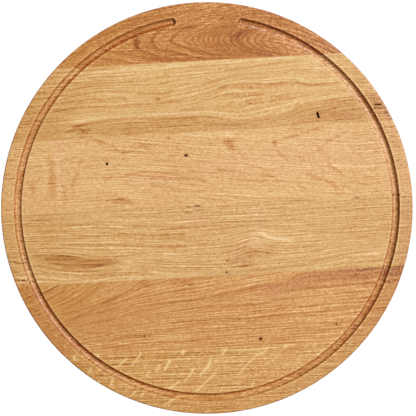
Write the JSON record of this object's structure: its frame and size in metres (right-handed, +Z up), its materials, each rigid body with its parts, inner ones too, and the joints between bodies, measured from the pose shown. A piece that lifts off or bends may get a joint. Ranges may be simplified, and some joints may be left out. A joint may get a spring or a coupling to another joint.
{
  "type": "serving board",
  "caption": "Round wooden serving board, glued up from edge-joined oak staves, with eased edges and a routed juice groove that stops short of a plain gap at the top.",
  "frame": {"origin": "centre of the flat underside, on the surface that the board rests on", "axes": "+Z up through the thickness, out of the grooved serving face; +Y from the centre towards the middle of the gap in the juice groove; +X to the right seen from above, 3.15 degrees clockwise from the run of the staves"},
  "size_m": [0.4, 0.4, 0.02],
  "materials": {
    "oak_red_brown": "oiled, satin",
    "oak_pale_straight": "oiled, satin",
    "oak_pale_flat_sawn": "oiled, satin",
    "oak_pale_knotty": "oiled, satin",
    "oak_tan": "oiled, satin",
    "oak_quarter_sawn": "oiled, satin"
  },
  "bodies": {
    "root": {"stave_1": "oak_red_brown", "stave_2": "oak_pale_straight", "stave_3": "oak_pale_flat_sawn", "stave_4": "oak_pale_knotty", "stave_5": "oak_tan", "stave_6": "oak_quarter_sawn"}
  },
  "joints": []
}
